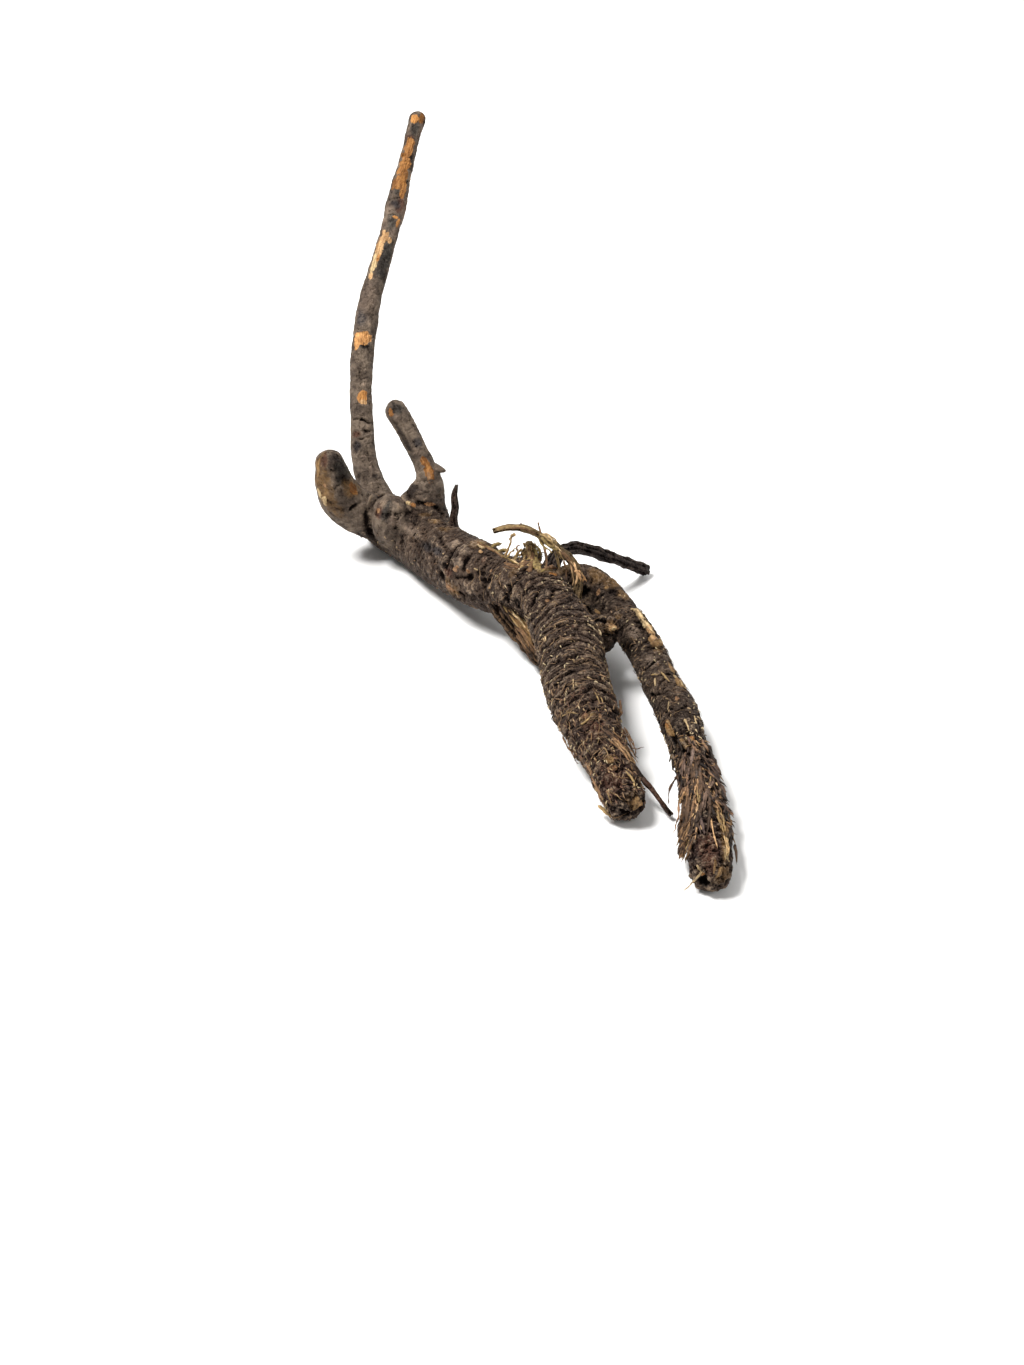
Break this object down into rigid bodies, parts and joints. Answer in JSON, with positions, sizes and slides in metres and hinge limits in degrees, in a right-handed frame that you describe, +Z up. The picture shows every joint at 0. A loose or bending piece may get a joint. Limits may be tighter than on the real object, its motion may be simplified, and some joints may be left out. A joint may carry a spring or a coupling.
{
  "type": "osha root",
  "caption": "Dried osha root: a ringed, knotted rhizome that forks into a thick and a slim bristly root, with broken stubs and a long thin root rising from its crown.",
  "frame": {"origin": "middle of the footprint, on the surface that the root rests on", "axes": "+Z up, -Y towards the front tips of the fork, +Y towards the end of the long thin root, +X towards the slim bristly root"},
  "size_m": [0.111, 0.2344, 0.1086],
  "materials": {
    "bark": "matt, dry and dusty dark brown bark"
  },
  "bodies": {
    "root": {"osha_root": "bark"}
  },
  "joints": []
}
